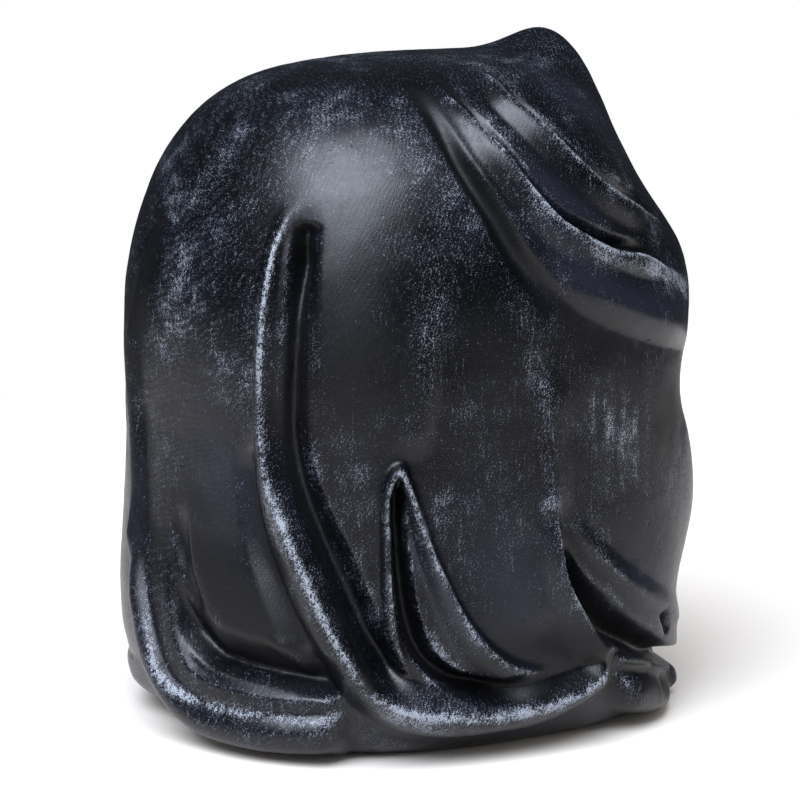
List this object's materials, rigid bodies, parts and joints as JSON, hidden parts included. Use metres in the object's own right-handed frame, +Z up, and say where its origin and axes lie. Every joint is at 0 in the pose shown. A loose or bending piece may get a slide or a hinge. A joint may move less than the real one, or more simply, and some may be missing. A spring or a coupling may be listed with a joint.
{
  "type": "hooded skull ornament",
  "caption": "Cast ornament of a skull under a draped hood, with deep folds that sweep round its base. It stands flat on a shelf by its own weight.",
  "frame": {"origin": "middle of the piece's own box, on the floor that its flat underside stands on", "axes": "+Z up, the skull looks along -Y, and +X is the piece's own left side"},
  "size_m": [0.1252, 0.1304, 0.155],
  "materials": {
    "black_paint": "satin black paint on cast resin, dry brushed with pale blue grey on the crests of the folds"
  },
  "bodies": {
    "root": {"hooded_skull": "black_paint"}
  },
  "joints": []
}
